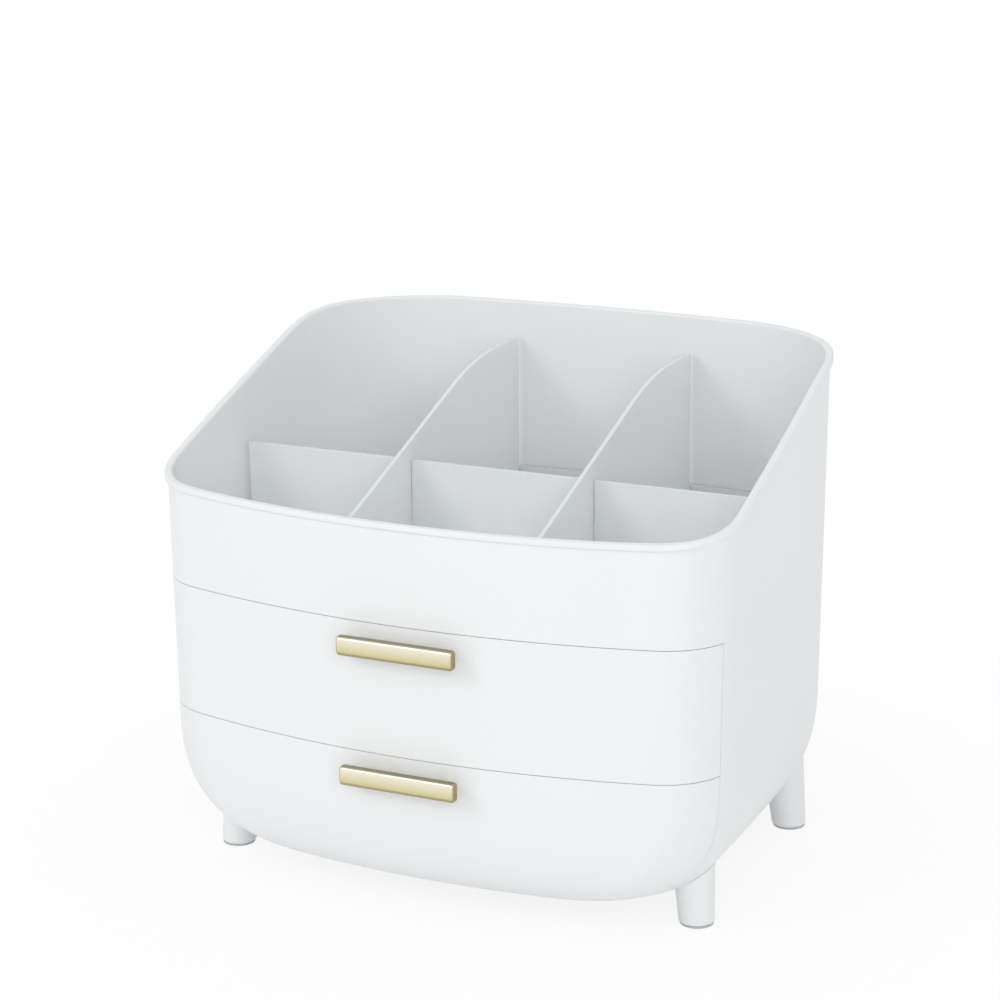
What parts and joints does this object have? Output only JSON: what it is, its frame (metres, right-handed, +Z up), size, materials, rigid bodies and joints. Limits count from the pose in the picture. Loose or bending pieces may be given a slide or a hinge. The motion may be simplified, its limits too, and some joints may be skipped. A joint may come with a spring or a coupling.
{
  "type": "makeup organizer",
  "caption": "Bowed white tub on splayed legs: open divided tray behind a sloping rim, above sliding drawers whose fronts wrap round the corners, with gold bar handles.",
  "frame": {"origin": "on the ground under the middle of the plan, handles included", "axes": "+X to the right seen from the front, -Y towards the front and its handles, +Z up"},
  "size_m": [0.3018, 0.2592, 0.2552],
  "materials": {
    "shell_plastic": "satin moulded ABS, white",
    "inner_plastic": "fine matt moulded polypropylene, white",
    "divider_plastic": "smooth moulded polystyrene, white",
    "rail_plastic": "low-friction acetal, off-white",
    "gold_metal": "pale gold, satin",
    "foot_rubber": "matt grey rubber",
    "screw_steel": "zinc-plated steel"
  },
  "bodies": {
    "body": {"cross_divider_left": "divider_plastic", "cross_divider_right": "divider_plastic", "drawer_shelf": "inner_plastic", "foot_pad_back_left": "foot_rubber", "foot_pad_back_right": "foot_rubber", "foot_pad_front_left": "foot_rubber", "foot_pad_front_right": "foot_rubber", "housing_shell": "shell_plastic", "leg_back_left": "shell_plastic", "leg_back_right": "shell_plastic", "leg_front_left": "shell_plastic", "leg_front_right": "shell_plastic", "leg_screws": "screw_steel", "long_divider": "divider_plastic", "lower_rail_left": "rail_plastic", "lower_rail_right": "rail_plastic", "rail_screws": "screw_steel", "shelf_screws": "screw_steel", "tray_insert": "inner_plastic", "upper_rail_left": "rail_plastic", "upper_rail_right": "rail_plastic"},
    "upper_drawer": {"upper_drawer_front": "shell_plastic", "upper_drawer_tray": "inner_plastic", "upper_handle": "gold_metal", "upper_handle_screws": "screw_steel", "upper_tray_screws": "screw_steel"},
    "lower_drawer": {"lower_drawer_front": "shell_plastic", "lower_drawer_tray": "inner_plastic", "lower_handle": "gold_metal", "lower_handle_screws": "screw_steel", "lower_tray_screws": "screw_steel"}
  },
  "joints": [
    {"name": "upper_drawer_slide", "type": "slide", "parent": "body", "child": "upper_drawer", "axis": [0, -1, 0], "range_m": [0, 0.13]},
    {"name": "lower_drawer_slide", "type": "slide", "parent": "body", "child": "lower_drawer", "axis": [0, -1, 0], "range_m": [0, 0.13]}
  ]
}
